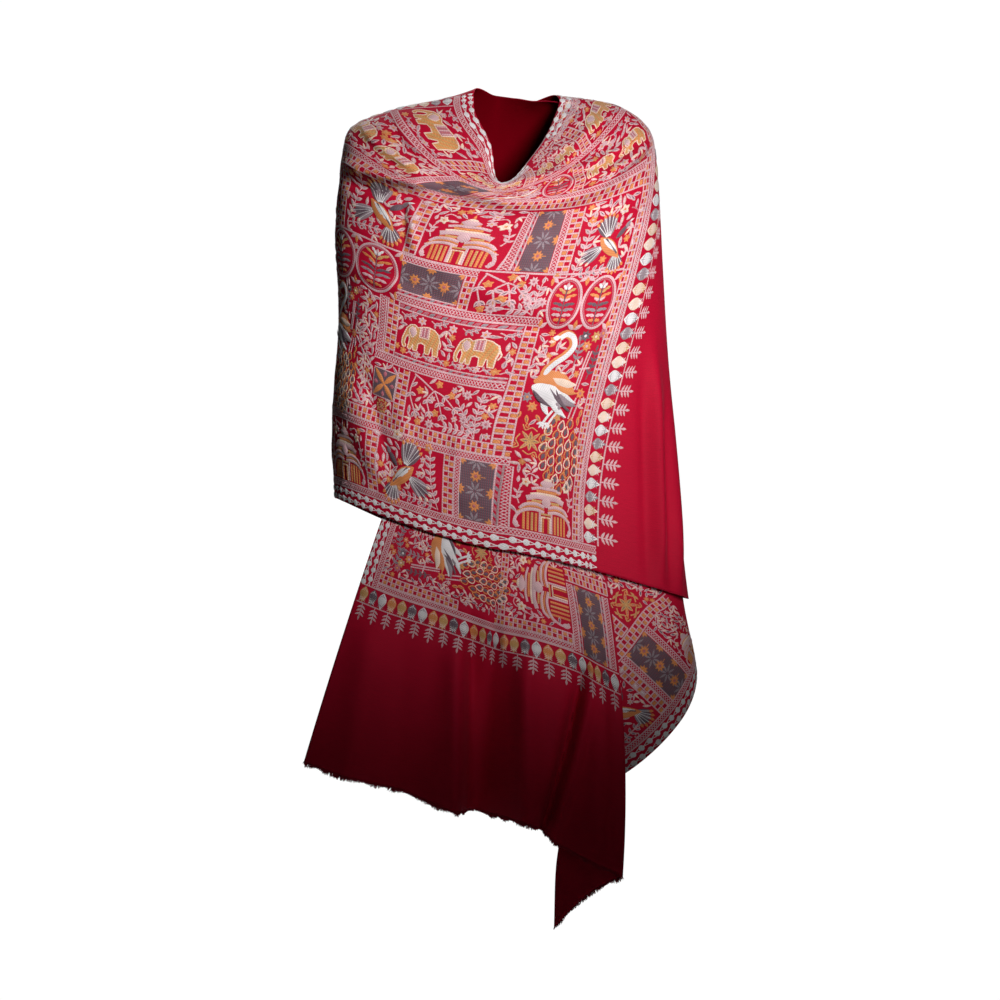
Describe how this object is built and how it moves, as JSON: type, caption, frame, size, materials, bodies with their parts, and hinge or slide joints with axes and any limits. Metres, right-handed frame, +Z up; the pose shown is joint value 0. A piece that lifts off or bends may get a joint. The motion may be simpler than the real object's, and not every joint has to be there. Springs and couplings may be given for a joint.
{
  "type": "patchwork shawl",
  "caption": "Crimson wool stole draped as a shawl over both shoulders and across the chest, its ends embroidered as patchwork.",
  "frame": {"origin": "middle of the base of the neck, on the line of the shoulders", "axes": "+Z up, the wearer faces -Y, +X toward the wearer's left arm"},
  "size_m": [0.5567, 0.2709, 1.1995],
  "materials": {
    "patchwork_cloth": "fine wool twill, closely embroidered in chain stitch",
    "plain_cloth": "fine wool twill, soft nap",
    "fringe_yarn": "short frayed wool ends"
  },
  "bodies": {
    "root": {"front_cross": "patchwork_cloth", "end_a_side": "plain_cloth", "back_field": "plain_cloth", "side_drop": "patchwork_cloth", "hanging_end": "patchwork_cloth", "turned_corner": "plain_cloth", "fringe_end_a": "fringe_yarn", "fringe_hanging_end": "fringe_yarn", "fringe_turned_corner": "fringe_yarn"}
  },
  "joints": []
}
